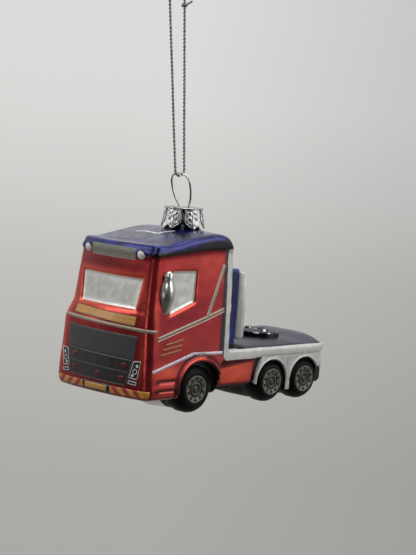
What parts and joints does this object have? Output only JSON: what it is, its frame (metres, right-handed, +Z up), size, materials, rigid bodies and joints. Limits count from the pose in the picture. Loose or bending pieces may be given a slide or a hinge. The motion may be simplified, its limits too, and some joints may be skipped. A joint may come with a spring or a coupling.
{
  "type": "glass truck ornament",
  "caption": "Mould-blown glass tree ornament shaped as a cab-over semi truck tractor, hung by a thread from a spring wire loop in its crown cap.",
  "frame": {"origin": "the hanging point, inside the top of the thread's loop", "axes": "+X to the truck's front, +Y to its left, +Z up, square to the truck"},
  "size_m": [0.095, 0.0452, 0.151],
  "materials": {
    "lacquered_glass": "gloss",
    "cap_metal": "embossed satin",
    "wire_metal": "bright",
    "thread": "metallic twist",
    "sign_lacquer": "gloss",
    "lamp_lacquer": "gloss",
    "yellow_lacquer": "gloss",
    "tan_lacquer": "satin",
    "grille_lacquer": "satin",
    "black_lacquer": "gloss",
    "hub_lacquer": "satin"
  },
  "bodies": {
    "thread": {"thread": "thread", "thread_knot": "thread"},
    "hanger": {"hanger_wire": "wire_metal", "cap": "cap_metal"},
    "ornament": {"glass_body": "lacquered_glass", "fifth_wheel": "black_lacquer", "roof_sign": "sign_lacquer", "marker_lamps": "lamp_lacquer", "banner_board": "yellow_lacquer", "waist_stripe": "tan_lacquer", "grille_mesh": "grille_lacquer", "lower_grille": "black_lacquer", "headlamps": "black_lacquer", "hazard_stripes": "yellow_lacquer", "number_plate": "yellow_lacquer", "side_stripes": "tan_lacquer", "louvre_bars": "tan_lacquer", "hub_prints": "hub_lacquer"}
  },
  "joints": [
    {"name": "swing", "type": "hinge", "parent": "thread", "child": "hanger", "pos_m": [-0.00408, 0.0035, -0.06728], "axis": [0, 1, 0], "range_deg": [-40, 40]},
    {"name": "cap_turn", "type": "hinge", "parent": "hanger", "child": "ornament", "pos_m": [-0.0075, 0.0035, -0.082], "axis": [0, 0, 1], "continuous": true}
  ]
}
